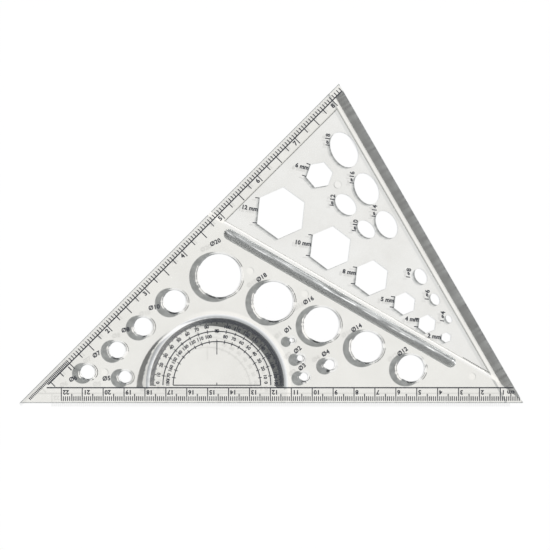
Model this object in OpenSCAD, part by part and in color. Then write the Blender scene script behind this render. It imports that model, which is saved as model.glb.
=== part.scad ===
// Clear drafting triangle with circle, hexagon and ellipse cut-outs, a protractor and a grip bar.
// Millimetres. The underside is at z = 0, the base edge faces -Y, and the origin is under the middle
// of the outline's box. Shapes are drawn on a sheet whose origin is the left corner, then centred.

/* [Plate] */
// Length of the base edge
base_length = 241; // [233:1:251]
// Angle of the left corner
left_angle = 45; // [44:0.5:46]
// Angle of the right corner
right_angle = 60; // [59:0.5:61]
// Thickness of the plate
plate_t = 3; // [2.5:0.1:4]
// Width of the bevel along the plate's top edges
edge_bevel = 0.4; // [0.1:0.05:0.6]
// Diameter of the round marks that the mould's pins leave
pin_mark_d = 3.5; // [2.5:0.1:4]
// Depth of those marks
pin_mark_depth = 0.15; // [0.05:0.05:0.3]

/* [Cut-outs] */
// Room left for the pencil all round a circle or hexagon
pencil_room = 0.45; // [0.2:0.05:0.6]
// Width of the chamfer round the top of each circle
circle_chamfer = 0.8; // [0.4:0.1:1]
// Width of the chamfer round the small circles, where a pencil point needs leading in
small_chamfer = 1.3; // [0.8:0.1:1.5]
// Largest diameter that counts as small
small_circle_d = 4; // [3:1:5]

/* [Protractor] */
// Distance of the centre from the middle of the base edge, towards the left corner
protractor_left = 26.1; // [24.5:0.1:28]
// Height of the centre above the base edge
protractor_y = 8.5; // [8:0.1:10]
// Radius of the half disc
disc_r = 32.3; // [31:0.1:34]
// Width of the slot round the half disc
slot_w = 1.7; // [1.4:0.1:3]
// Radius of the inner printed arc
inner_arc_r = 20.9; // [19:0.1:22]
// Radius of the middle printed arc
middle_arc_r = 25.8; // [24:0.1:27]
// Gap between the degree marks and the rim of the half disc
degree_edge_gap = 0.2; // [0.1:0.1:1]

/* [Template panel] */
// Thickness of the panel
panel_t = 1; // [0.8:0.1:1.4]
// Width of the ledge that the panel is seated on, all round
panel_seat = 0.4; // [0.3:0.1:1]
// Width of the plate's rim beside the left edge
left_rim = 7.9; // [7.2:0.1:8.2]
// Width of the plate's rim beside the right edge
right_rim = 7.1; // [6.7:0.1:7.2]
// Distance from the grip bar's line to the panel's window
bar_rim = 4.8; // [4.6:0.1:5.4]
// Width of the slope between the grip bar and the window
slope_w = 1.8; // [1:0.1:1.8]
// Short axis of an ellipse as a share of its long axis
ellipse_ratio = 0.67; // [0.5:0.01:0.68]

/* [Grip bar] */
// Distance from the right corner to the foot of the bar's line on the base edge
bar_foot = 1; // [0:0.1:2]
// Width of the bar, which is half round on top
bar_w = 5.4; // [4:0.1:5.6]
// Distance of the bar's near end from the foot of its line
bar_start = 36.5; // [34:0.5:40]
// Distance of the bar's far end from the left edge, along the bar
bar_end_gap = 11.7; // [10:0.1:24]
// Depth that the bar is let into the plate
bar_seat = 0.6; // [0.3:0.1:1]

/* [Print] */
// Distance of the centimetre scale's zero from the right corner
cm_zero = 1; // [0.5:0.1:2]
// Thickness of the ink
ink_t = 0.06; // [0.04:0.01:0.1]
// Width of the centimetre and inch scales' long lines
scale_line_w = 0.6; // [0.4:0.02:0.7]
// Width of the protractor's lines and arcs
line_w = 0.5; // [0.3:0.02:0.6]
// Width of a graduation mark
tick_w = 0.46; // [0.2:0.02:0.5]
// Width of a degree mark
degree_tick_w = 0.4; // [0.2:0.02:0.44]
// Bare margin between the centimetre graduations and the base edge
cm_margin = 1; // [0.6:0.1:1.4]
// Bare margin between the inch graduations and the left edge
inch_margin = 1.4; // [0.8:0.1:1.6]
// Distance of the centimetre scale's line from the base edge
cm_line_y = 7.3; // [6.8:0.1:7.6]
// Distance of the inch scale's line from the left edge
inch_line_in = 3.5; // [3:0.1:3.8]
// Distance of the inch scale's zero from the left corner
inch_zero = 4.9; // [4:0.1:6]
// Length of the limit marks beside hexagons and ellipses
limit_mark = 2; // [1.5:0.1:2.4]

/* [Fits] */
// Cement gap round the panel and the grip bar
cement_gap = 0.05; // [0.02:0.01:0.1]

/* [Hidden] */
$fn = 96;

// How far a cut runs past the face that it opens
cut = 1;
// The cut-outs are laid out on a grid that has this many steps along the base edge
layout_steps = 241;
step = base_length / layout_steps;

apex_y = base_length * tan(left_angle) * tan(right_angle) / (tan(left_angle) + tan(right_angle));
apex_x = apex_y / tan(left_angle);
right_corner = [base_length, 0];
right_edge_angle = 180 - right_angle;
bar_angle = 180 - right_angle / 2;
bar_line_foot = [base_length - bar_foot, 0];
bar_r = bar_w / 2;
// From its foot to the left edge
bar_line_length = bar_line_foot[0] * sin(left_angle) / sin(left_angle + right_angle / 2);
bar_length = bar_line_length - bar_start - bar_end_gap;
slot_r = disc_r + slot_w;
protractor_centre = [base_length / 2 - protractor_left, protractor_y];

// Circles below the grip bar: diameter, then in steps the distance along the bar's line from its foot
// and the distance below it
bar_circles = [[12, 53.9, 11.9], [14, 77.2, 13.6], [16, 101.3, 15.1], [18, 126.9, 17], [20, 155.5, 19.3]];
// Circles along the left edge: diameter, then in steps the distance from the left corner along the edge
// and the distance in from it
edge_circles = [[6, 33.6, 12.5], [7, 51.1, 15.1], [8, 67.8, 16], [10, 87, 18.1]];
// Circles round the protractor: diameter, direction from its centre, clear distance from its slot
slot_circles = [[1, 31.2, 7.2], [2, 18.1, 6.9], [3, 5.5, 6.5], [4, 10.3, 19], [5, 174.7, 7.5]];
// Hexagons: side, then in steps the distance along the bar's line and the distance above it, and the turn
hexagons = [[12, 145, 21.3, 24], [10, 116.1, 18.7, 23], [8, 91.9, 16.2, 23], [6, 138.1, 46.4, 10],
            [5, 72, 13.4, 23], [4, 57.8, 10.3, 23], [2, 46.6, 9.3, 23]];
// Ellipses: long axis, then in steps the distance along the bar's line and the distance above it, the turn,
// and the place of the limit mark from the centre
ellipses = [[18, 133.9, 62.7, 118, [-8, 2.2]], [16, 115.2, 51.9, 117, [-7.3, 2.8]],
            [14, 98.4, 41.9, 119, [-6.3, 3.9]], [12, 120.1, 40.4, 135, [-6.9, -0.4]],
            [10, 105.7, 35.1, 135, [-6, -0.8]], [8, 71.8, 28.6, 120, [-6.2, -0.4]],
            [6, 60.4, 22.5, 120, [-4.1, 0]], [4, 49.9, 17.6, 120, [-3.4, -0.9]]];
limit_mark_turn = -7;

// Centres of the round marks of the mould's pins, in steps
bar_pin_marks = [[143.8, -10.1], [115.7, -6.5], [26.5, -0.7]];
edge_pin_marks = [[39.1, 18.4]];
panel_pin_marks = [[128.2, 46.8]];

// Tick lengths, measured in from the bare margin on the base edge and from the line on the left edge
mm_tick = 2.2;
half_cm_tick = 3.4;
inch_short_tick = 1.4;
quarter_inch_tick = 2.5;
half_inch_tick = 4;
inch_tick = 3.6;
inch = 25.4;
cm_last = 22;
inch_last = 8.25;
// Where the two scales' lines start, so that they don't run into each other at the left corner
inch_line_start = 16;
cm_line_left = 13;
cm_line_right = 4.5;
// Clear distance between a mark and whatever it would run into
mark_clear = 0.8;
// Distance of the limit marks from their hexagon
limit_mark_gap = 0.2;
// Degree marks, and the marks across the two arcs at every tenth degree
degree_tick = 2;
five_degree_tick = 2.4;
ten_degree_tick = 2.9;
arc_tick = 1.8;
centre_tick = 1.2;
right_angle_mark = [14.7, 20];

function heading(angle) = [cos(angle), sin(angle)];
function edge_point(along, inward) = along * heading(left_angle) + inward * heading(left_angle - 90);
function right_edge_point(along, inward) =
  right_corner + along * heading(right_edge_angle) + inward * heading(right_edge_angle + 90);
function bar_point(along, above) =
  bar_line_foot + along * heading(bar_angle) + above * heading(bar_angle - 90);
function meet(p, p_angle, q, q_angle) =
  p + heading(p_angle) * cross(q - p, heading(q_angle)) / cross(heading(p_angle), heading(q_angle));

// Triangle between the left edge, the right edge and the bar's line, each moved in by its own distance
function rim_triangle(left_in, right_in, bar_in) =
  let (left_p = edge_point(0, left_in), right_p = right_edge_point(0, right_in), bar_p = bar_point(0, bar_in))
  [meet(left_p, left_angle, bar_p, bar_angle),
   meet(left_p, left_angle, right_p, right_edge_angle),
   meet(right_p, right_edge_angle, bar_p, bar_angle)];
function panel_triangle(grow) = rim_triangle(left_rim - grow, right_rim - grow, bar_rim - grow);

// From the middle of a hexagon to its corners, for a given side
function hexagon_r(side) = side + pencil_room / cos(30);

// Every circle as diameter and centre
function circles() = concat(
  [for (c = bar_circles) [c[0], bar_point(c[1] * step, -c[2] * step)]],
  [for (c = edge_circles) [c[0], edge_point(c[1] * step, c[2] * step)]],
  [for (c = slot_circles) [c[0], protractor_centre + (slot_r + c[2] + c[0] / 2) * heading(c[1])]]);

module centred() {
  translate([-base_length / 2, -apex_y / 2, 0]) children();
}

// Local X runs along the bar, from a point on the bar's line
module along_bar(start) {
  translate(bar_point(start, 0)) rotate(bar_angle) children();
}

module stadium(length, width) {
  translate([width / 2, -width / 2]) square([length - width, width]);
  for (x = [width / 2, length - width / 2]) translate([x, 0]) circle(d = width);
}

module circle_cuts() {
  for (c = circles()) translate(c[1]) {
    hole_r = c[0] / 2 + pencil_room;
    chamfer = c[0] > small_circle_d ? circle_chamfer : small_chamfer;
    translate([0, 0, -cut]) cylinder(r = hole_r, h = plate_t + 2 * cut);
    translate([0, 0, plate_t - chamfer])
      cylinder(r1 = hole_r, r2 = hole_r + chamfer + cut, h = chamfer + cut);
  }
}

// Bevels the top of the edge through a point, which runs with the outside on its left
module bevel_cut(start, angle) {
  translate(start) rotate(angle) translate([-base_length, 0, plate_t - edge_bevel]) rotate([-45, 0, 0])
    translate([0, -cut, 0]) cube([3 * base_length, 2 * cut, cut]);
}

module protractor_slot() {
  translate([0, 0, -cut]) linear_extrude(plate_t + 2 * cut) intersection() {
    translate(protractor_centre) difference() {
      circle(r = slot_r);
      circle(r = disc_r);
    }
    translate([0, cm_line_y]) square([base_length, apex_y]);
  }
}

// Window above the panel, with a slope beside the grip bar, and the panel's rebate below
module panel_window() {
  rebate_top = panel_t + cement_gap;
  // The slope carries on past the top face, so that the cut has no ledge there
  cut_top = plate_t + cut;
  cut_slope_w = slope_w * (cut_top - rebate_top) / (plate_t - rebate_top);
  translate([0, 0, -cut]) linear_extrude(rebate_top + cut) polygon(panel_triangle(panel_seat + cement_gap));
  intersection() {
    linear_extrude(cut_top + cut) polygon(rim_triangle(left_rim, right_rim, 0));
    along_bar(0) rotate([90, 0, 90]) linear_extrude(base_length)
      polygon([[-apex_y, -cut], [-bar_rim, -cut], [-bar_rim, rebate_top], [-bar_rim + cut_slope_w, cut_top],
               [-apex_y, cut_top]]);
  }
}

module pin_mark() {
  translate([0, 0, -cut]) cylinder(d = pin_mark_d, h = pin_mark_depth + cut);
}

module plate() {
  color("#E9EAE7", 0.5) centred() difference() {
    linear_extrude(plate_t) polygon([[0, 0], right_corner, [apex_x, apex_y]]);
    bevel_cut([0, 0], left_angle);
    bevel_cut(right_corner, 180);
    bevel_cut(right_corner, right_edge_angle + 180);
    circle_cuts();
    protractor_slot();
    panel_window();
    along_bar(bar_start - cement_gap) translate([0, 0, plate_t - bar_seat - cement_gap])
      linear_extrude(bar_seat + cement_gap + cut)
        stadium(bar_length + 2 * cement_gap, bar_w + 2 * cement_gap);
    for (m = bar_pin_marks) translate(bar_point(m[0] * step, m[1] * step)) pin_mark();
    for (m = edge_pin_marks) translate(edge_point(m[0] * step, m[1] * step)) pin_mark();
  }
}

module template_panel() {
  color("#E3E6E5", 0.5) centred() difference() {
    linear_extrude(panel_t) difference() {
      polygon(panel_triangle(panel_seat));
      for (h = hexagons)
        translate(bar_point(h[1] * step, h[2] * step)) rotate(h[3]) circle(r = hexagon_r(h[0]), $fn = 6);
      for (e = ellipses)
        translate(bar_point(e[1] * step, e[2] * step)) rotate(e[3])
          scale([1, ellipse_ratio]) circle(d = e[0]);
    }
    for (m = panel_pin_marks) translate(bar_point(m[0] * step, m[1] * step)) pin_mark();
  }
}

module grip_bar() {
  color("#B9C0C0", 0.7) centred() along_bar(bar_start) translate([0, 0, plate_t]) {
    translate([0, 0, -bar_seat]) linear_extrude(bar_seat) stadium(bar_length, bar_w);
    intersection() {
      union() {
        translate([bar_r, 0, 0]) rotate([0, 90, 0]) cylinder(r = bar_r, h = bar_length - bar_w);
        for (x = [bar_r, bar_length - bar_r]) translate([x, 0, 0]) sphere(r = bar_r);
      }
      translate([0, -bar_w, 0]) cube([bar_length, 2 * bar_w, bar_w]);
    }
  }
}

// Ink on a face at the given height, drawn flat
module ink(height) {
  color("#20242E") centred() translate([0, 0, height]) linear_extrude(ink_t) children();
}

// Mark across a line: local Y from one distance to another
module tick(from, to, width = tick_w) {
  translate([-width / 2, from]) square([width, to - from]);
}

module inch_scale() {
  thirty_seconds = [for (i = [0 : 31]) i / 32];
  sixteenths = [for (i = [16 : inch_last * 16]) i / 16];
  line_end = inch_zero + inch_last * inch;
  ink(plate_t) rotate(left_angle) {
    translate([inch_line_start, -inch_line_in - scale_line_w / 2])
      square([line_end - inch_line_start, scale_line_w]);
    for (i = concat(thirty_seconds, sixteenths)) {
      x = inch_zero + i * inch;
      inner_end = x < inch_line_start ? inch_margin + inch_short_tick : inch_line_in;
      translate([x, 0]) tick(-inner_end, -inch_margin);
    }
    for (i = [0.5 : 0.25 : inch_last - 0.25]) {
      x = inch_zero + i * inch;
      length = i == floor(i) ? inch_tick : i * 2 == floor(i * 2) ? half_inch_tick : quarter_inch_tick;
      // Room down to the centimetre scale's line, measured square to the left edge
      room = (edge_point(x, inch_line_in)[1] - cm_line_y) / cos(left_angle) - mark_clear;
      translate([x, 0]) tick(-inch_line_in - min(length, room), -inch_line_in);
    }
  }
}

module centimetre_scale() {
  line_right = base_length - cm_line_right - scale_line_w / 2;
  ink(plate_t) {
    translate([cm_line_left, cm_line_y - scale_line_w / 2])
      square([line_right - cm_line_left, scale_line_w]);
    for (mm = [1 : cm_last * 10]) {
      top = mm % 10 == 0 ? cm_line_y : cm_margin + (mm % 5 == 0 ? half_cm_tick : mm_tick);
      // Room under the slanting right edge
      room = (mm + cm_zero) * tan(right_angle) - mark_clear;
      if (room > cm_margin + mark_clear)
        translate([base_length - cm_zero - mm, 0]) tick(cm_margin, min(top, room));
    }
  }
}

module half_ring(r) {
  intersection() {
    difference() {
      circle(r = r + line_w / 2);
      circle(r = r - line_w / 2);
    }
    translate([-disc_r, 0]) square([2 * disc_r, disc_r]);
  }
}

module protractor_scale() {
  rim = disc_r - degree_edge_gap;
  ink(plate_t) translate(protractor_centre) {
    half_ring(inner_arc_r);
    half_ring(middle_arc_r);
    translate([-inner_arc_r, -line_w / 2]) square([2 * inner_arc_r, line_w]);
    tick(0, centre_tick, degree_tick_w);
    tick(right_angle_mark[0], right_angle_mark[1], degree_tick_w);
    for (a = [0 : 180]) {
      length = a % 10 == 0 ? ten_degree_tick : a % 5 == 0 ? five_degree_tick : degree_tick;
      rotate(a - 90) tick(rim - length, rim, degree_tick_w);
    }
    for (a = [10 : 10 : 170], r = [inner_arc_r, middle_arc_r])
      rotate(a - 90) tick(r - arc_tick / 2, r + arc_tick / 2, degree_tick_w);
  }
}

// Two marks at the ends of each hexagon's left side, pointing away from it
module hexagon_marks() {
  ink(panel_t) for (h = hexagons) if (h[0] > limit_mark)
    translate(bar_point(h[1] * step, h[2] * step)) rotate(h[3] + 150) for (side = [-1, 1])
      translate([hexagon_r(h[0]) * cos(30) + limit_mark_gap, (side * h[0] - tick_w) / 2])
        square([limit_mark, tick_w]);
}

module ellipse_marks() {
  ink(panel_t) for (e = ellipses)
    translate(bar_point(e[1] * step, e[2] * step) + e[4]) rotate(limit_mark_turn)
      square([limit_mark, tick_w], center = true);
}

plate();
template_panel();
grip_bar();
inch_scale();
centimetre_scale();
protractor_scale();
hexagon_marks();
ellipse_marks();
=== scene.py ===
"""A clear drafting triangle on white paper, seen from straight above, with its printed figures."""

import math

import bmesh
import bpy
from mathutils import Matrix, Vector


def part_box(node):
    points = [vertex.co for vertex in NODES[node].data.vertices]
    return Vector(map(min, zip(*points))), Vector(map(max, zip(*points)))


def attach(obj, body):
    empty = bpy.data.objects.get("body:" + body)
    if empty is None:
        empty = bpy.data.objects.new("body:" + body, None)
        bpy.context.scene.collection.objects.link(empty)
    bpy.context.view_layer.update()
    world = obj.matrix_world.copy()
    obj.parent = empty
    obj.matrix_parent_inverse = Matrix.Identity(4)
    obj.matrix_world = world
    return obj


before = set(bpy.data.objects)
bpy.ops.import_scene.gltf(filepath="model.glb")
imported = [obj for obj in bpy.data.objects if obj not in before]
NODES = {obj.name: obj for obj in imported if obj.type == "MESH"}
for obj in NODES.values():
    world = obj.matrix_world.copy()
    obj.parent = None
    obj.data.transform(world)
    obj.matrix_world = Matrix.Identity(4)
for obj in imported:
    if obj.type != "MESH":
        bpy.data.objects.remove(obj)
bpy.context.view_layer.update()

MM = 0.001


def heading(degrees):
    """The level direction that is so many degrees round from X."""
    turn = math.radians(degrees)
    return Vector((math.cos(turn), math.sin(turn), 0))


PLATE_LOW, PLATE_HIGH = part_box("plate")
BASE_LENGTH = PLATE_HIGH.x - PLATE_LOW.x
# The left corner of the plate, from which places on the sheet are measured
CORNER = Vector((PLATE_LOW.x, PLATE_LOW.y, 0))
RIGHT_CORNER = CORNER + Vector((BASE_LENGTH, 0, 0))
# The foot of the grip bar's line, which is the zero of the centimetre scale too
BAR_FOOT = RIGHT_CORNER - Vector((1 * MM, 0, 0))
PLATE_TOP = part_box("centimetre_scale")[0].z
PANEL_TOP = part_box("hexagon_marks")[0].z
INK_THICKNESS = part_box("hexagon_marks")[1].z - PANEL_TOP

# The half disc of the protractor: its printed base line is half a line's width below the centre
SCALE_LOW, SCALE_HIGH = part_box("protractor_scale")
PROTRACTOR = Vector(((SCALE_LOW.x + SCALE_HIGH.x) / 2, SCALE_LOW.y + 0.25 * MM, 0))
DISC_R = 32.3 * MM
SLOT_R = 34 * MM

# The shade of the half disc's rim and slot starts between these distances from the base edge
SHADE_LOW = 7.1 * MM
SHADE_HIGH = 7.5 * MM

# Round cut-outs: diameter and middle, then the label's middle and turn, in millimetres and degrees
CIRCLES = (
    (20, (95.7, 61.1), (93.7, 76.8), 25), (18, (121.6, 48.8), (115.8, 60.0), 33),
    (16, (144.7, 37.6), (138.2, 49.0), 30), (14, (166.3, 26.9), (161.2, 35.9), 30),
    (12, (187.4, 16.7), (183.2, 24.6), 35), (10, (74.3, 48.8), (64.4, 45.7), 10),
    (8, (59.3, 36.7), (50.7, 34.9), 10), (7, (46.8, 25.5), (36.8, 23.2), 30),
    (6, (32.6, 15.0), (25.6, 11.5), 20), (5, (50.6, 12.6), (41.6, 11.7), 5),
    (4, (148.5, 18.4), (146.4, 23.8), 30), (3, (136.2, 12.6), (135.2, 17.2), 40),
    (2, (134.2, 21.5), (133.0, 25.4), 40), (1, (130.1, 30.1), (128.4, 35.2), 40))

# Level directions square to the plate's edges and to the grip bar's line
LEFT_INWARD = heading(-45)
BASE_INWARD = heading(90)
RIGHT_OUTWARD = heading(30)
BAR_ACROSS = heading(60)

# The middle of the slope beside the grip bar, measured across from the bar's line
SLOPE_MIDDLE = 3.9 * MM

# The photograph: how much of the sheet it spans, and the point of the sheet in its middle
PHOTO_SPAN = 263.06 * MM
PHOTO_MIDDLE = CORNER + Vector((122.2, 61.22, 0)) * MM

# The lamp stands to the upper right, low enough to throw the dark bands behind the plate's edges
SUN_SIDE = heading(31)
SUN_HEIGHT = math.radians(29.5)

# Index of refraction of the clear plastic
PLASTIC_IOR = 1.49
# Share of the lamp's light that the polished faces let through, and the share where edges gather it
FACE_PASS = 0.93
GATHERED = 1.12

# Settings of a Map Range node that eases in and out, and of a Mix node for colours
SMOOTH = {"interpolation_type": "SMOOTHSTEP"}
COLOURS = {"data_type": "RGBA"}


# Helpers


def linear(hex_colour):
    """A linear colour with alpha from an sRGB hex value."""
    parts = [int(hex_colour[i:i + 2], 16) / 255 for i in (1, 3, 5)]
    return (*(p / 12.92 if p <= 0.04045 else ((p + 0.055) / 1.055) ** 2.4 for p in parts), 1)


def add_node(tree, kind, inputs=(), **settings):
    """A new node. Settings are its own properties. Inputs, by order or by name, are values, outputs to
    link, or nodes whose first output in use is linked."""
    node = tree.nodes.new("ShaderNode" + kind)
    for name, value in settings.items():
        setattr(node, name, value)
    for name, value in inputs.items() if isinstance(inputs, dict) else enumerate(inputs):
        if isinstance(value, bpy.types.Node):
            value = next(output for output in value.outputs if output.enabled)
        if isinstance(value, bpy.types.NodeSocket):
            tree.links.new(value, node.inputs[name])
        else:
            node.inputs[name].default_value = value
    return node


def new_material(name):
    """An empty material and its node tree."""
    material = bpy.data.materials.new(name)
    material.use_nodes = True
    material.node_tree.nodes.clear()
    return material, material.node_tree


def dress(piece, material):
    piece.data.materials.clear()
    piece.data.materials.append(material)


def past(tree, place, facing, start, landing=False):
    """How far past the line through start a place lies, along the facing that is square to the line.
    With landing, the same for the spot of floor that the lamp's light through the place would reach."""
    drop = -facing.dot(SUN_SIDE) / math.tan(SUN_HEIGHT) if landing else 0
    reach = add_node(tree, "VectorMath", (place, (facing.x, facing.y, drop)), operation="DOT_PRODUCT")
    return add_node(tree, "Math", (reach, facing.dot(start)), operation="SUBTRACT")


def slant_of(tree, geometry):
    """How level a face is: one for the flat faces, none for an upright edge."""
    facing = add_node(tree, "SeparateXYZ", (geometry["True Normal"],)).outputs
    return add_node(tree, "Math", (facing["Z"],), operation="ABSOLUTE")


def lamps_see(tree, surface, passed):
    """The surface to the eye, while light on its way to the paper meets a film of the colour passed."""
    path = add_node(tree, "LightPath").outputs
    light = add_node(tree, "Math", (path["Is Shadow Ray"], path["Is Diffuse Ray"]), operation="MAXIMUM")
    film = add_node(tree, "BsdfTransparent", {"Color": passed})
    return add_node(tree, "MixShader", (light, surface, film))


# How the clear plastic looks


def chamfer_tint(tree, place, geometry):
    """The colour of the chamfers: white, with a painted grey line along the outer edges and painted black
    spots on the lowest stretch of each cut-out's rim, both painted shade where the rims bend the light."""
    height = add_node(tree, "SeparateXYZ", (place,)).outputs["Z"]
    from_left = past(tree, place, LEFT_INWARD, CORNER)
    from_base = past(tree, place, BASE_INWARD, CORNER)
    outer = add_node(tree, "Math", (from_left, from_base), operation="MINIMUM")
    outer = add_node(tree, "Math", (outer, 1 * MM), operation="LESS_THAN")
    # Painted shade: a grey line along the top of the chamfers near the left and base edges
    upper = add_node(tree, "MapRange", (height, 2.45 * MM, 2.65 * MM), **SMOOTH)
    line = add_node(tree, "Math", (upper, outer), operation="MULTIPLY")
    with_painted_line = add_node(tree, "Mix", {"Factor": line, "A": linear("#FFFFFF"), "B": linear("#8C8F90")},
                     **COLOURS)
    # Painted shade: black spots in patches on the lowest stretch of each cut-out's rim
    lowest = add_node(tree, "VectorMath", (geometry["True Normal"], heading(82)), operation="DOT_PRODUCT")
    lowest = add_node(tree, "MapRange", (lowest, 0.58, 0.68), **SMOOTH)
    patches = add_node(tree, "TexNoise", {"Vector": place, "Scale": 1 / (3.5 * MM), "Detail": 3.0})
    patches = add_node(tree, "MapRange", (patches, 0.42, 0.52), **SMOOTH)
    painted_dark_spots = add_node(tree, "Math", (lowest, patches), operation="MULTIPLY")
    return add_node(tree, "Mix", {"Factor": painted_dark_spots, "A": with_painted_line, "B": linear("#3C3E40")}, **COLOURS)


def polished(tree, place, geometry, colours, cloud_size):
    """Clear plastic as the eye sees it: faint clouds from the melt, sink marks that bend what is seen
    through it a little, painted shade on the chamfers' rims, and painted light on the slope by the grip
    bar."""
    cloudy, clear = (linear(colour) for colour in colours)
    clouds = add_node(tree, "TexNoise", {"Vector": place, "Scale": 1 / (cloud_size * MM), "Detail": 6.0,
                                         "Roughness": 0.75})
    colour = add_node(tree, "Mix", {"Factor": clouds, "A": cloudy, "B": clear}, **COLOURS)
    chamfer = add_node(tree, "Math", (slant_of(tree, geometry), 0.7, 0.15), operation="COMPARE")
    rims = chamfer_tint(tree, place, geometry)
    colour = add_node(tree, "Mix", {"Factor": chamfer, "A": colour, "B": rims}, **COLOURS)
    # Painted light: the slope beside the grip bar is tinted white, so that it shows brighter than the
    # faces round it
    across = past(tree, place, BAR_ACROSS, BAR_FOOT)
    slope = add_node(tree, "Math", (across, SLOPE_MIDDLE, 1.1 * MM), operation="COMPARE")
    slope = add_node(tree, "Math", (chamfer, slope), operation="MULTIPLY")
    colour = add_node(tree, "Mix", {"Factor": slope, "A": colour, "B": linear("#FFFFFF")}, **COLOURS)
    sinks = add_node(tree, "TexNoise", {"Vector": place, "Scale": 1 / (6 * MM), "Detail": 2.0})
    bump = add_node(tree, "Bump", {"Height": sinks, "Strength": 0.06, "Distance": 0.4 * MM})
    wear = add_node(tree, "TexNoise", {"Vector": place, "Scale": 1 / (1.5 * MM), "Detail": 6.0})
    rough = add_node(tree, "MapRange", (wear, 0.45, 0.75, 0.02, 0.08), **SMOOTH)
    return add_node(tree, "BsdfPrincipled", {"Base Color": colour, "Roughness": rough, "IOR": PLASTIC_IOR,
                                             "Transmission Weight": 1.0, "Normal": bump})


# How much of the lamp's light the clear plastic passes


def beyond_circles(tree, spot, shift):
    """How far a spot lies outside the nearest round cut-out, if the cut-outs are all shifted."""
    nearest = None
    for diameter, (x, y), _, _ in CIRCLES:
        middle = CORNER + Vector((x, y, 0)) * MM + shift
        reach = add_node(tree, "VectorMath", (spot, middle), operation="DISTANCE")
        beyond = add_node(tree, "Math", (reach, diameter / 2 * MM), operation="SUBTRACT")
        if nearest:
            beyond = add_node(tree, "Math", (nearest, beyond), operation="MINIMUM")
        nearest = beyond
    return nearest


def behind_circles(tree, spot):
    """Light on the paper round the cut-outs. The rim of each bends it aside, so there is a dark crescent
    on the side away from the lamp, with ragged bright patches between it and the cut-out, and a bright
    brim that ends in a thin broken line on the lamp's side."""
    throw = heading(198) * 2.75 * MM
    beyond = beyond_circles(tree, spot, Vector((0, 0, 0)))
    crescent = beyond_circles(tree, spot, throw)
    # One straight behind a cut-out, and less than none on the lamp's side of it
    away = add_node(tree, "Math", (beyond, crescent), operation="SUBTRACT")
    away = add_node(tree, "Math", (away, throw.length), operation="DIVIDE")

    patches = add_node(tree, "TexNoise", {"Vector": spot, "Scale": 1 / (2.4 * MM), "Detail": 3.0})
    ragged = add_node(tree, "MapRange", (patches, 0.3, 0.7, -0.35 * MM, 0.35 * MM), **SMOOTH)
    inner = add_node(tree, "MapRange", (away, 0.3, 1.0, 0.7 * MM, 1.75 * MM), **SMOOTH)
    inner = add_node(tree, "Math", (inner, ragged), operation="ADD")
    outside = add_node(tree, "Math", (beyond, inner), operation="SUBTRACT")
    outside = add_node(tree, "MapRange", (outside, -0.15 * MM, 0.15 * MM), **SMOOTH)
    within = add_node(tree, "MapRange", (crescent, 1.75 * MM, 2.2 * MM, 1.0, 0.0), **SMOOTH)
    dark = add_node(tree, "Math", (outside, within), operation="MULTIPLY")
    behind = add_node(tree, "MapRange", (away, 0.2, 0.6), **SMOOTH)
    near = add_node(tree, "MapRange", (beyond, 1.6 * MM, 2.2 * MM, 1.0, 0.0), **SMOOTH)
    bright = add_node(tree, "Math", (behind, near), operation="MULTIPLY")

    brim = beyond_circles(tree, spot, heading(-20) * 0.9 * MM)
    lamp_side = add_node(tree, "MapRange", (away, -0.1, 0.2, 1.0, 0.0), **SMOOTH)
    on_brim = add_node(tree, "MapRange", (brim, 0.6 * MM, 0.75 * MM, 1.0, 0.0), **SMOOTH)
    on_brim = add_node(tree, "Math", (on_brim, lamp_side), operation="MULTIPLY")
    bright = add_node(tree, "Math", (bright, on_brim), operation="MAXIMUM")
    light = add_node(tree, "Mix", {"Factor": bright, "A": FACE_PASS, "B": GATHERED})
    line = add_node(tree, "Math", (brim, 0.85 * MM, 0.19 * MM), operation="COMPARE")
    line = add_node(tree, "Math", (line, lamp_side), operation="MULTIPLY")
    breaks = add_node(tree, "TexNoise", {"Vector": spot, "Scale": 1 / (4 * MM), "Detail": 3.0})
    breaks = add_node(tree, "MapRange", (breaks, 0.42, 0.5), **SMOOTH)
    line = add_node(tree, "Math", (line, breaks), operation="MULTIPLY")
    light = add_node(tree, "Mix", {"Factor": line, "A": light, "B": 0.12})

    mottle = add_node(tree, "TexNoise", {"Vector": spot, "Scale": 1 / (2.5 * MM), "Detail": 3.0})
    dimmed = add_node(tree, "MapRange", (mottle, 0.3, 0.7, 0.24, 0.36), **SMOOTH)
    return add_node(tree, "Mix", {"Factor": dark, "A": light, "B": dimmed})


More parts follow.
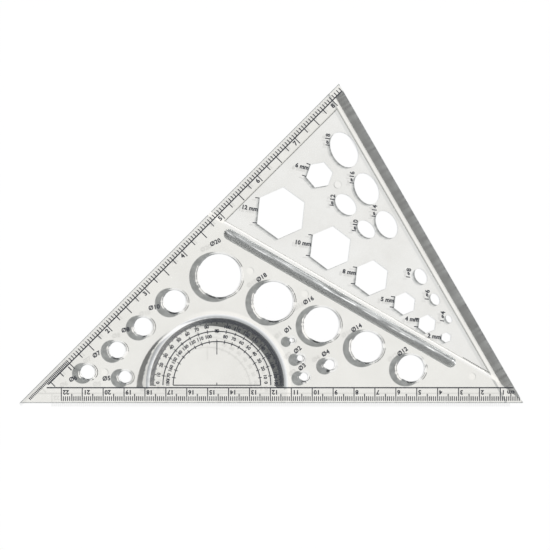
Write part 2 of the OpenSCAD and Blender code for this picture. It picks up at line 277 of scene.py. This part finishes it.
def round_disc(tree, spot, radius, light):
    """Light on the paper under the half disc and round its slot. The rim bends it aside, so the disc is
    dark along the rim on the lamp's side, and a ring beyond the slot is bright."""
    lamp_side = past(tree, spot, heading(45), PROTRACTOR)
    lamp_side = add_node(tree, "Math", (lamp_side, radius), operation="DIVIDE")
    lamp_side = add_node(tree, "MapRange", (lamp_side, 0.2, 0.7), **SMOOTH)
    beyond = add_node(tree, "Math", (radius, SLOT_R), operation="GREATER_THAN")
    ring = add_node(tree, "MapRange", (radius, SLOT_R + 1.4 * MM, SLOT_R + 1.9 * MM, 1.0, 0.0), **SMOOTH)
    for limit in (beyond, lamp_side):
        ring = add_node(tree, "Math", (ring, limit), operation="MULTIPLY")
    light = add_node(tree, "Mix", {"Factor": ring, "A": light, "B": 1.06})

    unshaded = PROTRACTOR + heading(225) * 5.5 * MM
    reach = add_node(tree, "VectorMath", (spot, unshaded), operation="DISTANCE")
    dark = add_node(tree, "MapRange", (reach, DISC_R - 0.2 * MM, DISC_R + 0.1 * MM), **SMOOTH)
    on_disc = add_node(tree, "Math", (radius, DISC_R + 0.2 * MM), operation="LESS_THAN")
    above_scale = past(tree, spot, BASE_INWARD, CORNER)
    above_scale = add_node(tree, "MapRange", (above_scale, SHADE_LOW, SHADE_HIGH), **SMOOTH)
    for limit in (lamp_side, on_disc, above_scale):
        dark = add_node(tree, "Math", (dark, limit), operation="MULTIPLY")
    mottle = add_node(tree, "TexNoise", {"Vector": spot, "Scale": 1 / (1.6 * MM), "Detail": 3.0})
    dimmed = add_node(tree, "MapRange", (mottle, 0.3, 0.7, 0.06, 0.12), **SMOOTH)
    at_rim = add_node(tree, "MapRange", (radius, DISC_R - 1.2 * MM, DISC_R), **SMOOTH)
    dimmed = add_node(tree, "Mix", {"Factor": at_rim, "A": dimmed, "B": 0.36})
    return add_node(tree, "Mix", {"Factor": dark, "A": light, "B": dimmed})


def plate_underside(tree, place, spot, radius, from_right):
    """Light that the plate's underside passes to the paper it lies on: more beside the right edge's band
    and under the slope, and less along the panel's window."""
    light = round_disc(tree, spot, radius, behind_circles(tree, spot))
    band_start = add_node(tree, "MapRange", (from_right, -6.4 * MM, -6.1 * MM), **SMOOTH)
    band_end = add_node(tree, "MapRange", (from_right, -5.5 * MM, -5.2 * MM, 1.0, 0.0), **SMOOTH)
    beside_band = add_node(tree, "Math", (band_start, band_end), operation="MULTIPLY")
    light = add_node(tree, "Mix", {"Factor": beside_band, "A": light, "B": 1.02})
    window = add_node(tree, "Math", (from_right, 6.85 * MM), operation="ADD")
    window = add_node(tree, "Math", (window,), operation="ABSOLUTE")
    window = add_node(tree, "MapRange", (window, 0.3 * MM, 0.7 * MM, 0.75, 0.0), **SMOOTH)
    light = add_node(tree, "Mix", {"Factor": window, "A": light, "B": 0.5})
    across = past(tree, place, BAR_ACROSS, BAR_FOOT)
    slope = add_node(tree, "Math", (across, SLOPE_MIDDLE), operation="SUBTRACT")
    slope = add_node(tree, "Math", (slope,), operation="ABSOLUTE")
    slope = add_node(tree, "MapRange", (slope, 0.6 * MM, 1.2 * MM, 1.0, 0.0), **SMOOTH)
    return add_node(tree, "Mix", {"Factor": slope, "A": light, "B": GATHERED})


def plate_edge(tree, place, geometry, height, radius, from_right):
    """Light through the plate's upright edges. They bend it aside, so a band behind an edge is dark, but
    for light gathered near the edge's foot."""
    level = add_node(tree, "VectorMath", (geometry["True Normal"], (1, 1, 0)), operation="MULTIPLY")
    facing = add_node(tree, "VectorMath", (level,), operation="NORMALIZE")
    towards = add_node(tree, "VectorMath", (facing, SUN_SIDE), operation="DOT_PRODUCT")
    faces_sun = add_node(tree, "Math", (towards,), operation="ABSOLUTE")
    right_edge = add_node(tree, "Math", (from_right, -0.5 * MM), operation="GREATER_THAN")
    # The edges of the slot round the half disc, but not the base edge below it
    from_base = past(tree, place, BASE_INWARD, CORNER)
    above_base = add_node(tree, "Math", (from_base, 3 * MM), operation="GREATER_THAN")
    slot_edge = add_node(tree, "Math", (radius, SLOT_R + 0.3 * MM), operation="LESS_THAN")
    slot_edge = add_node(tree, "Math", (slot_edge, above_base), operation="MULTIPLY")
    off_disc = add_node(tree, "Math", (radius, DISC_R + 0.4 * MM), operation="GREATER_THAN")
    above_scale = past(tree, place, BASE_INWARD, CORNER, landing=True)
    above_scale = add_node(tree, "MapRange", (above_scale, SHADE_LOW, SHADE_HIGH), **SMOOTH)
    slot_wall = slot_edge
    for limit in (off_disc, above_scale):
        slot_wall = add_node(tree, "Math", (slot_wall, limit), operation="MULTIPLY")

    # Light is gathered up to the lower of these heights, and gets past the bevel of the right edge
    lit_height = add_node(tree, "Mix", {"Factor": right_edge, "A": 0.95 * MM, "B": -0.5 * MM})
    rim_height = add_node(tree, "Mix", {"Factor": right_edge, "A": 3.2 * MM, "B": 2.9 * MM})
    patches = add_node(tree, "TexNoise", {"Vector": place, "Scale": 1 / (1.3 * MM), "Detail": 3.0})
    ragged = add_node(tree, "MapRange", (patches, 0.3, 0.7, -0.3 * MM, 0.3 * MM), **SMOOTH)
    above = add_node(tree, "Math", (height, lit_height), operation="SUBTRACT")
    above = add_node(tree, "Math", (above, ragged), operation="ADD")
    dark = add_node(tree, "MapRange", (above, -0.1 * MM, 0.3 * MM), **SMOOTH)
    below = add_node(tree, "Math", (rim_height, height), operation="SUBTRACT")
    below = add_node(tree, "MapRange", (below, -0.1 * MM, 0.1 * MM), **SMOOTH)
    # An edge that the light only grazes hardly bends it
    struck = add_node(tree, "MapRange", (faces_sun, 0.05, 0.35), **SMOOTH)
    shading = add_node(tree, "Math", (right_edge, slot_wall), operation="MAXIMUM")
    # The band stops short of the left edge, and it narrows to a point at the right corner
    from_left = past(tree, place, LEFT_INWARD, CORNER, landing=True)
    from_left = add_node(tree, "MapRange", (from_left, 3.2 * MM, 3.7 * MM), **SMOOTH)
    from_corner = past(tree, place, heading(51), RIGHT_CORNER, landing=True)
    from_corner = add_node(tree, "MapRange", (from_corner, 0.0, 0.6 * MM), **SMOOTH)
    from_corner = add_node(tree, "Mix", {"Factor": right_edge, "A": 1.0, "B": from_corner})
    for limit in (below, struck, shading, from_left, from_corner):
        dark = add_node(tree, "Math", (dark, limit), operation="MULTIPLY")

    upright = add_node(tree, "Mapping", {"Vector": place, "Scale": (1, 1, 0.15)})
    streaks = add_node(tree, "TexNoise", {"Vector": upright, "Scale": 1 / (1.6 * MM), "Detail": 3.0})
    streaks = add_node(tree, "MapRange", (streaks, 0.3, 0.7, 0.5, 1.5), **SMOOTH)
    band = add_node(tree, "MapRange", (height, 0.3 * MM, 1.8 * MM, 1.45, 0.85), **SMOOTH)
    band = add_node(tree, "Mix", {"Factor": right_edge, "A": 1.0, "B": band})
    dimmed = add_node(tree, "MapRange", (faces_sun, 0.6, 1.0, 0.04, 0.14), **SMOOTH)
    for change in (streaks, band):
        dimmed = add_node(tree, "Math", (dimmed, change), operation="MULTIPLY")
    leaving = add_node(tree, "Mix", {"Factor": dark, "A": 1.0, "B": dimmed})

    # Light on its way out to the bare paper is lost only near the floor, but the slot's floor gets darker
    # the further it lies from the edge that shades it
    foot = add_node(tree, "MapRange", (height, 0.0, 0.3 * MM, 0.35, 1.0), **SMOOTH)
    slot_reach = (SLOT_R - DISC_R) * math.tan(SUN_HEIGHT)
    slot_share = add_node(tree, "Math", (height, faces_sun), operation="MULTIPLY")
    slot_share = add_node(tree, "Math", (slot_share, slot_reach), operation="DIVIDE")
    slot_floor = add_node(tree, "MapRange", (slot_share, 0.0, 0.9, 0.92, 0.4), **SMOOTH)
    beyond_slot = add_node(tree, "Math", (slot_share, 1.02), operation="GREATER_THAN")
    slot_floor = add_node(tree, "Mix", {"Factor": beyond_slot, "A": slot_floor, "B": 0.95})
    entering = add_node(tree, "Mix", {"Factor": slot_edge, "A": foot, "B": slot_floor})
    return add_node(tree, "Mix", {"Factor": geometry["Backfacing"], "A": entering, "B": leaving})


def by_face(tree, geometry, height, edge, underside):
    """The edge's light at upright faces, the underside's at the floor, and all of it at other faces."""
    at_floor = add_node(tree, "Math", (height, 0.1 * MM), operation="LESS_THAN")
    level = add_node(tree, "Mix", {"Factor": at_floor, "A": 1.0, "B": underside})
    upright = add_node(tree, "Math", (slant_of(tree, geometry), 0.35), operation="LESS_THAN")
    return add_node(tree, "Mix", {"Factor": upright, "A": level, "B": edge})


def plate_pass(tree, place, geometry):
    """How much of the lamp's light gets through the plate."""
    height = add_node(tree, "SeparateXYZ", (place,)).outputs["Z"]
    spot = add_node(tree, "VectorMath", (place, (1, 1, 0)), operation="MULTIPLY")
    radius = add_node(tree, "VectorMath", (spot, PROTRACTOR), operation="DISTANCE")
    from_right = past(tree, place, RIGHT_OUTWARD, RIGHT_CORNER)
    edge = plate_edge(tree, place, geometry, height, radius, from_right)
    underside = plate_underside(tree, place, spot, radius, from_right)
    return by_face(tree, geometry, height, edge, underside)


def panel_pass(tree, place, geometry):
    """How much of the lamp's light gets through the panel, whose thin edges bend only part of it aside."""
    height = add_node(tree, "SeparateXYZ", (place,)).outputs["Z"]
    patches = add_node(tree, "TexNoise", {"Vector": place, "Scale": 1 / (1.6 * MM), "Detail": 3.0})
    patches = add_node(tree, "MapRange", (patches, 0.3, 0.7, -0.12, 0.12), **SMOOTH)
    leaving = add_node(tree, "MapRange", (height, 0.25 * MM, 0.75 * MM, 0.3, 0.8), **SMOOTH)
    leaving = add_node(tree, "Math", (leaving, patches), operation="ADD")
    border = past(tree, place, RIGHT_OUTWARD, RIGHT_CORNER)
    border = add_node(tree, "Math", (border, -7.3 * MM), operation="GREATER_THAN")
    leaving = add_node(tree, "Mix", {"Factor": border, "A": leaving, "B": 0.85})
    entering = add_node(tree, "MapRange", (height, 0.0, 0.25 * MM, 0.5, 1.0), **SMOOTH)
    edge = add_node(tree, "Mix", {"Factor": geometry["Backfacing"], "A": entering, "B": leaving})

    # Light is lost along the joint with the plate, on the left and from the bar's end to the right corner
    from_left = past(tree, place, LEFT_INWARD, CORNER)
    left_joint = add_node(tree, "Math", (from_left, 7.95 * MM, 0.16 * MM), operation="COMPARE")
    across = past(tree, place, BAR_ACROSS, BAR_FOOT)
    bar_joint = add_node(tree, "Math", (across, 4.95 * MM, 0.18 * MM), operation="COMPARE")
    along = past(tree, place, heading(150), BAR_FOOT)
    beyond_bar = add_node(tree, "Math", (along, 35 * MM), operation="LESS_THAN")
    bar_joint = add_node(tree, "Math", (bar_joint, beyond_bar), operation="MULTIPLY")
    joint = add_node(tree, "Math", (left_joint, bar_joint), operation="MAXIMUM")
    underside = add_node(tree, "Mix", {"Factor": joint, "A": FACE_PASS, "B": 0.2})
    return by_face(tree, geometry, height, edge, underside)


# Materials


def clear_plastic(name, colours, cloud_size, light_pass):
    """Clear moulded polystyrene, polished on both faces: it shows the paper almost unchanged."""
    material, tree = new_material(name)
    place = add_node(tree, "TexCoord").outputs["Object"]
    geometry = add_node(tree, "NewGeometry").outputs
    seen = polished(tree, place, geometry, colours, cloud_size)
    passed = light_pass(tree, place, geometry)
    # The less light gets through, the cooler it is
    warmth = add_node(tree, "Math", (passed, 0.07, 0.93), operation="MULTIPLY_ADD")
    coolness = add_node(tree, "Math", (passed, -0.03, 1.03), operation="MULTIPLY_ADD")
    red = add_node(tree, "Math", (passed, warmth), operation="MULTIPLY")
    blue = add_node(tree, "Math", (passed, coolness), operation="MULTIPLY")
    colour = add_node(tree, "CombineColor", {"Red": red, "Green": passed, "Blue": blue})
    add_node(tree, "OutputMaterial", {"Surface": lamps_see(tree, seen, colour)})
    return material


def drawn_bar(name):
    """The same plastic drawn into a half-round bar and hazed, so that it takes the light. Its colour is
    painted:
    shade on the lower-left half and light on the upper-right half, streaked along the bar by long lines,
    and pale patches on the ridge for glints."""
    material, tree = new_material(name)
    place = add_node(tree, "TexCoord").outputs["Object"]
    across = past(tree, place, BAR_ACROSS, BAR_FOOT)
    turned = add_node(tree, "Mapping", {"Vector": place, "Rotation": (0, 0, math.radians(30))})
    along = add_node(tree, "Mapping", {"Vector": turned, "Scale": (0.06, 1, 1)})
    lines = add_node(tree, "TexNoise", {"Vector": along, "Scale": 1 / (1.1 * MM), "Detail": 3.0})
    faint = add_node(tree, "MapRange", (lines, 0.35, 0.65), **SMOOTH)
    # Painted shade: the bar's lower-left half is coloured darker, as if turned away from the lamp
    painted_shade_tone = add_node(tree, "Mix", {"Factor": faint, "A": linear("#727474"), "B": linear("#868888")},
                      **COLOURS)
    # The painted shade pales towards the bar's lower-left foot
    foot = add_node(tree, "MapRange", (across, -2.2 * MM, -0.3 * MM, 1.0, 0.0), **SMOOTH)
    painted_shade_tone = add_node(tree, "Mix", {"Factor": foot, "A": painted_shade_tone, "B": linear("#D8DAD8")}, **COLOURS)
    strong = add_node(tree, "MapRange", (lines, 0.38, 0.62), **SMOOTH)
    # Painted light: the bar's upper-right half is coloured lighter, as if facing the lamp
    painted_lit_tone = add_node(tree, "Mix", {"Factor": strong, "A": linear("#606262"), "B": linear("#AAACAC")},
                     **COLOURS)
    side = add_node(tree, "MapRange", (across, 0.1 * MM, 0.6 * MM), **SMOOTH)
    colour = add_node(tree, "Mix", {"Factor": side, "A": painted_shade_tone, "B": painted_lit_tone}, **COLOURS)

    # The painted glints wander to either side of the ridge
    wander = add_node(tree, "TexNoise", {"Vector": place, "Scale": 1 / (14 * MM), "Detail": 3.0})
    wander = add_node(tree, "MapRange", (wander, 0.35, 0.65, 0.2 * MM, 0.85 * MM), **SMOOTH)
    ridge = add_node(tree, "Math", (across, wander), operation="SUBTRACT")
    ridge = add_node(tree, "Math", (ridge,), operation="ABSOLUTE")
    ridge = add_node(tree, "MapRange", (ridge, 0.15 * MM, 0.5 * MM, 1.0, 0.0), **SMOOTH)
    stretched = add_node(tree, "Mapping", {"Vector": turned, "Scale": (0.12, 1, 1)})
    patches = add_node(tree, "TexNoise", {"Vector": stretched, "Scale": 1 / (1.2 * MM), "Detail": 3.0})
    patches = add_node(tree, "MapRange", (patches, 0.48, 0.56), **SMOOTH)
    # Painted highlight: pale patches along the ridge stand in for glints of the lamp
    painted_glints = add_node(tree, "Math", (ridge, patches), operation="MULTIPLY")
    colour = add_node(tree, "Mix", {"Factor": painted_glints, "A": colour, "B": linear("#F4F5F5")}, **COLOURS)
    haze = add_node(tree, "BsdfPrincipled", {"Base Color": colour, "Roughness": 0.35, "IOR": PLASTIC_IOR})
    clear = add_node(tree, "BsdfPrincipled", {"Base Color": linear("#E4E6E5"), "Roughness": 0.12,
                                              "IOR": PLASTIC_IOR, "Transmission Weight": 1.0})
    bar = add_node(tree, "MixShader", (0.66, clear, haze))
    add_node(tree, "OutputMaterial", {"Surface": lamps_see(tree, bar, (1, 1, 1, 1))})
    return material


def printing_ink(name):
    """Screen-printed blue-black ink: matt, a little uneven where the film is thin."""
    material, tree = new_material(name)
    place = add_node(tree, "TexCoord").outputs["Object"]
    film = add_node(tree, "TexNoise", {"Vector": place, "Scale": 1 / (1.2 * MM), "Detail": 4.0})
    colour = add_node(tree, "Mix", {"Factor": film, "A": linear("#101218"), "B": linear("#262A34")},
                      **COLOURS)
    rough = add_node(tree, "MapRange", (film, 0.0, 1.0, 0.45, 0.7), **SMOOTH)
    ink = add_node(tree, "BsdfPrincipled", {"Base Color": colour, "Roughness": rough})
    add_node(tree, "OutputMaterial", {"Surface": lamps_see(tree, ink, (0.9, 0.9, 0.9, 1))})
    return material


def white_paper(name):
    """Plain drawing paper: matt and white."""
    material, tree = new_material(name)
    paper = add_node(tree, "BsdfDiffuse", {"Color": (0.97, 0.97, 0.97, 1)})
    add_node(tree, "OutputMaterial", {"Surface": paper})
    return material


PLATE_PLASTIC = clear_plastic("clear_polystyrene_plate", ("#E4E2DD", "#FDFCF7"), 30, plate_pass)
PANEL_PLASTIC = clear_plastic("clear_polystyrene_panel", ("#E6E4DF", "#FDFDFB"), 24, panel_pass)
BAR_PLASTIC = drawn_bar("drawn_polystyrene_bar")
INK = printing_ink("screen_printed_ink")

dress(NODES["plate"], PLATE_PLASTIC)
dress(NODES["template_panel"], PANEL_PLASTIC)
dress(NODES["grip_bar"], BAR_PLASTIC)
for node in ("inch_scale", "centimetre_scale", "protractor_scale", "hexagon_marks", "ellipse_marks"):
    dress(NODES[node], INK)


# Printed figures

# A figure of the built-in font is about this share of the font's size high
FIGURE_SHARE = 0.73


class Lettering:
    """Flat figures of ink, gathered into one piece. Places are in millimetres from the left corner."""

    def __init__(self, name, height, weight, surface, spacing=1.0):
        self.name = name
        self.height = height
        self.weight = weight
        self.surface = surface
        self.spacing = spacing
        self.mesh = bmesh.new()

    def write(self, words, x, y, turn, align="CENTER"):
        """Sets words with their middle, or the end that align names, at x, y, turned by turn degrees."""
        curve = bpy.data.curves.new(self.name, "FONT")
        curve.body = words
        curve.align_x = align
        curve.align_y = "CENTER"
        curve.size = self.height * MM / FIGURE_SHARE
        curve.extrude = INK_THICKNESS / 2
        # The strokes are thickened by this much all round
        curve.offset = self.weight * MM
        curve.space_character = self.spacing
        curve.resolution_u = 3
        writing = bpy.data.objects.new(self.name, curve)
        bpy.context.scene.collection.objects.link(writing)
        bpy.context.view_layer.update()
        finished = writing.evaluated_get(bpy.context.evaluated_depsgraph_get())
        mesh = bpy.data.meshes.new_from_object(finished)
        centre = CORNER + Vector((x, y, 0)) * MM + Vector((0, 0, self.surface + INK_THICKNESS / 2))
        mesh.transform(Matrix.Translation(centre) @ Matrix.Rotation(math.radians(turn), 4, "Z"))
        self.mesh.from_mesh(mesh)
        bpy.data.meshes.remove(mesh)
        bpy.data.objects.remove(writing)
        bpy.data.curves.remove(curve)

    def finish(self):
        """Makes the gathered figures a piece of ink."""
        mesh = bpy.data.meshes.new(self.name)
        self.mesh.to_mesh(mesh)
        self.mesh.free()
        piece = bpy.data.objects.new(self.name, mesh)
        bpy.context.scene.collection.objects.link(piece)
        dress(piece, INK)
        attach(piece, "root")


# Centimetre figures read from the far side of the base edge, each beside its mark
centimetres = Lettering("centimetre_figures", 2.1, 0.13, PLATE_TOP, 1.06)
zero = (BAR_FOOT.x - CORNER.x) / MM
for number in range(1, 23):
    beside_mark = 1.4 if number < 10 else 2.2
    centimetres.write(str(number), zero - 10 * number + beside_mark, 5.2, 180)
centimetres.write("cm", zero - 5.0, 5.0, 180)
centimetres.finish()

# Inch figures stand beside their marks along the left edge
INCH = 25.4
INCH_ZERO = 4.9
inches = Lettering("inch_figures", 2.2, 0.14, PLATE_TOP)
for number in range(1, 9):
    place = heading(45) * (INCH_ZERO + INCH * number - 1.6) + LEFT_INWARD * 5.5
    inches.write(str(number), place.x, place.y, 45)
inches.finish()

# Two rows of degrees, counted from either end, with the right angle alone between them
OUTER_ROW_R = 28.2
INNER_ROW_R = 23.4
RIGHT_ANGLE_R = 25.9
degrees = Lettering("degree_figures", 1.6, 0.1, PLATE_TOP)
centre = (PROTRACTOR - CORNER) / MM
for angle in range(0, 181, 10):
    rows = [(OUTER_ROW_R, 180 - angle), (INNER_ROW_R, angle)] if angle != 90 else [(RIGHT_ANGLE_R, 90)]
    for radius, number in rows:
        place = centre + heading(angle) * radius
        # The end figures are lifted clear of the base line
        degrees.write(str(number), place.x, max(place.y, centre.y + 1.2), angle - 90)
degrees.finish()

# Diameters of the round cut-outs
circle_labels = Lettering("circle_labels", 2.1, 0.12, PLATE_TOP, 1.06)
for diameter, _, (x, y), turn in CIRCLES:
    circle_labels.write(f"Ø{diameter}", x, y, turn)
circle_labels.finish()

# Sides of the hexagons, each ending just short of its cut-out
hexagon_labels = Lettering("hexagon_labels", 2.0, 0.14, PANEL_TOP, 1.03)
for side, x, y, turn in (
        (12, 114.0, 92.6, -9), (10, 139.5, 75.9, -8), (8, 161.0, 62.1, -8), (6, 138.3, 112.4, -13),
        (5, 179.3, 48.8, -8), (4, 191.0, 39.7, -5), (2, 201.7, 31.3, -8)):
    hexagon_labels.write(f"{side} mm", x, y, turn, "RIGHT")
hexagon_labels.finish()

# Long axes of the ellipses, which read upwards
ellipse_labels = Lettering("ellipse_labels", 2.2, 0.11, PANEL_TOP, 1.08)
for axis, x, y in (
        (18, 147.5, 126.5), (16, 159.1, 108.4), (14, 169.9, 92.3), (12, 149.8, 97.4), (10, 160.7, 85.3),
        (8, 186.3, 62.8), (6, 195.2, 52.5), (4, 202.6, 42.2)):
    ellipse_labels.write(f"ø{axis}", x, y, 83)
ellipse_labels.finish()


# Stage, light and camera


floor_mesh = bmesh.new()
bmesh.ops.create_grid(floor_mesh, x_segments=1, y_segments=1, size=3)
floor_data = bpy.data.meshes.new("floor")
floor_mesh.to_mesh(floor_data)
floor_mesh.free()
floor = bpy.data.objects.new("floor", floor_data)
# A hair below the plate, so that paper and plastic share no face
floor.location.z = -0.02 * MM
bpy.context.scene.collection.objects.link(floor)
dress(floor, white_paper("white_paper"))

sun = bpy.data.lights.new("key", "SUN")
sun.energy = 5.65
sun.angle = math.radians(3)
key = bpy.data.objects.new("key", sun)
towards = SUN_SIDE * math.cos(SUN_HEIGHT) + Vector((0, 0, math.sin(SUN_HEIGHT)))
key.rotation_euler = towards.to_track_quat("Z", "Y").to_euler()
bpy.context.scene.collection.objects.link(key)

# Soft light from all round. What the camera, a mirror image or the plastic shows of it is white
world = bpy.data.worlds.new("studio")
world.use_nodes = True
bpy.context.scene.world = world
sky = world.node_tree
sky.nodes.clear()
path = add_node(sky, "LightPath").outputs
seen = add_node(sky, "Math", (path["Is Camera Ray"], path["Is Glossy Ray"]), operation="MAXIMUM")
seen = add_node(sky, "Math", (seen, path["Is Transmission Ray"]), operation="MAXIMUM")
# Light that reaches the paper through the plastic is no stronger than the light beside it
direct = add_node(sky, "Math", (path["Diffuse Depth"], 0.5), operation="LESS_THAN")
seen = add_node(sky, "Math", (seen, direct), operation="MULTIPLY")
fill = add_node(sky, "Background", {"Color": (1, 1, 1, 1), "Strength": 0.15})
white = add_node(sky, "Background", {"Color": (1, 1, 1, 1), "Strength": 1.0})
mixed = add_node(sky, "MixShader", (seen, fill, white))
add_node(sky, "OutputWorld", {"Surface": mixed})

lens = bpy.data.cameras.new("camera")
lens.lens = 200
lens.sensor_width = 36
lens.clip_end = 20
camera = bpy.data.objects.new("camera", lens)
camera.location = PHOTO_MIDDLE + Vector((0, 0, PLATE_TOP + PHOTO_SPAN * lens.lens / lens.sensor_width))
bpy.context.scene.collection.objects.link(camera)
bpy.context.scene.camera = camera

bpy.context.scene.view_settings.view_transform = "Standard"
